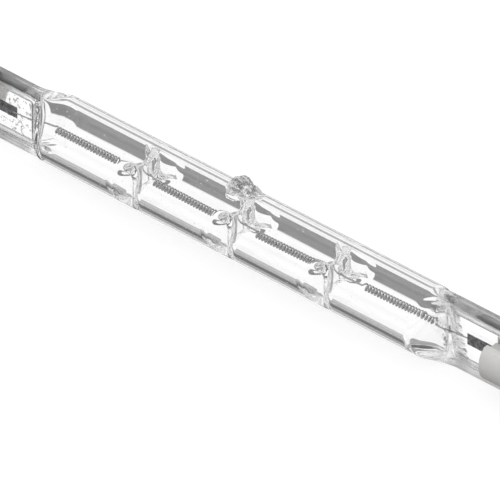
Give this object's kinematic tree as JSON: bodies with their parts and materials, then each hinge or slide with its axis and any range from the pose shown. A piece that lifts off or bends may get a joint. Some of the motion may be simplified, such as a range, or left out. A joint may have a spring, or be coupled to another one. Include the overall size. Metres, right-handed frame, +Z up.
{
  "type": "linear halogen lamp",
  "caption": "Double-ended linear halogen lamp: pinched quartz tube with a coiled filament in cells between pressed bridges, sealing foils and a ceramic cap with a recessed contact at each end.",
  "frame": {"origin": "middle of the lamp's length, on the plane that the lower edges of the two pinch seals stand on, under the tube's axis", "axes": "+X along the tube, +Z up through the exhaust tip's side, +Y across the flat of the pinch seals"},
  "size_m": [0.1176, 0.01, 0.0117],
  "materials": {
    "quartz": "clear, fire polished",
    "tungsten": "drawn wire, dull grey",
    "molybdenum": "rolled foil, dark grey",
    "cap_ceramic": "unglazed, matt",
    "cap_cement": "matt, grainy",
    "contact_metal": "turned, nickel coloured"
  },
  "bodies": {
    "root": {"quartz_envelope": "quartz", "filament": "tungsten", "foil_left": "molybdenum", "foil_right": "molybdenum", "outer_lead_left": "molybdenum", "outer_lead_right": "molybdenum", "ceramic_cap_left": "cap_ceramic", "ceramic_cap_right": "cap_ceramic", "cement_left": "cap_cement", "cement_right": "cap_cement", "contact_left": "contact_metal", "contact_right": "contact_metal"}
  },
  "joints": []
}
